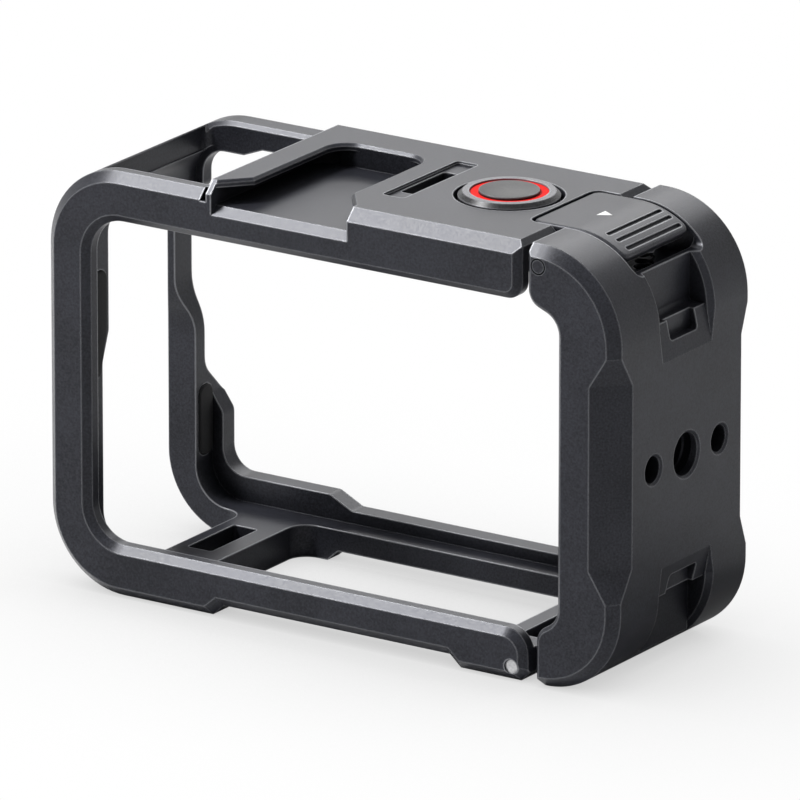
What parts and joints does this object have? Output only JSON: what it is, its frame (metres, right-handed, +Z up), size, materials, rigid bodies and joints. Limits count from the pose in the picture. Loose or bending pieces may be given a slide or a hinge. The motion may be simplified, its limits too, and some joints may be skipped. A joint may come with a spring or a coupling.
{
  "type": "action camera cage",
  "caption": "Machined aluminium cage for a small action camera, with a hinged side door, rocking press latch, sprung shutter button, cold shoe and tripod thread.",
  "frame": {"origin": "centre of the bounding box's bottom face, at the level of the feet", "axes": "+X along the cage towards the hinged door, +Y towards the back (the camera's screen side), +Z up towards the cold shoe"},
  "size_m": [0.078, 0.03, 0.0532],
  "materials": {
    "anodised_aluminium": "bead-blasted, dark grey anodised",
    "latch_aluminium": "bead-blasted, dark grey anodised",
    "pin_steel": "ground",
    "blackened_steel": "blackened",
    "spring_steel": "drawn wire",
    "bezel_aluminium": "turned, dark grey anodised",
    "red_ring": "red anodised",
    "cap_aluminium": "fine turned, dark grey anodised",
    "bush_plastic": "moulded",
    "washer_plastic": "moulded",
    "black_rubber": "matt"
  },
  "bodies": {
    "frame": {"main_frame": "anodised_aluminium", "hinge_pin": "pin_steel", "front_hinge_washer": "washer_plastic", "rear_hinge_washer": "washer_plastic", "button_bush": "bush_plastic", "button_spring": "spring_steel", "front_rubber_strip": "black_rubber", "rear_rubber_strip": "black_rubber"},
    "door": {"side_door": "anodised_aluminium", "latch_pin": "blackened_steel", "latch_spring": "blackened_steel", "door_rubber_strip": "black_rubber"},
    "latch": {"latch_tab": "latch_aluminium"},
    "button": {"button_bezel": "bezel_aluminium", "button_ring": "red_ring", "button_cap": "cap_aluminium", "button_stem": "pin_steel", "button_clip": "spring_steel", "button_tip": "black_rubber"}
  },
  "joints": [
    {"name": "door_hinge", "type": "hinge", "parent": "frame", "child": "door", "pos_m": [0.025, 0, 0.0018], "axis": [0, 1, 0], "range_deg": [0, 95]},
    {"name": "latch_rock", "type": "hinge", "parent": "door", "child": "latch", "pos_m": [0.02852, 0, 0.04995], "axis": [0, 1, 0], "range_deg": [0, 8], "stiffness_Nm_per_rad": 0.15, "springref_deg": -3.44, "deforming": ["latch_spring"]},
    {"name": "button_press", "type": "slide", "parent": "frame", "child": "button", "axis": [0, 0, -1], "range_m": [0, 0.0008], "stiffness_N_per_m": 800, "springref_m": -0.0006, "deforming": ["button_spring"]}
  ]
}
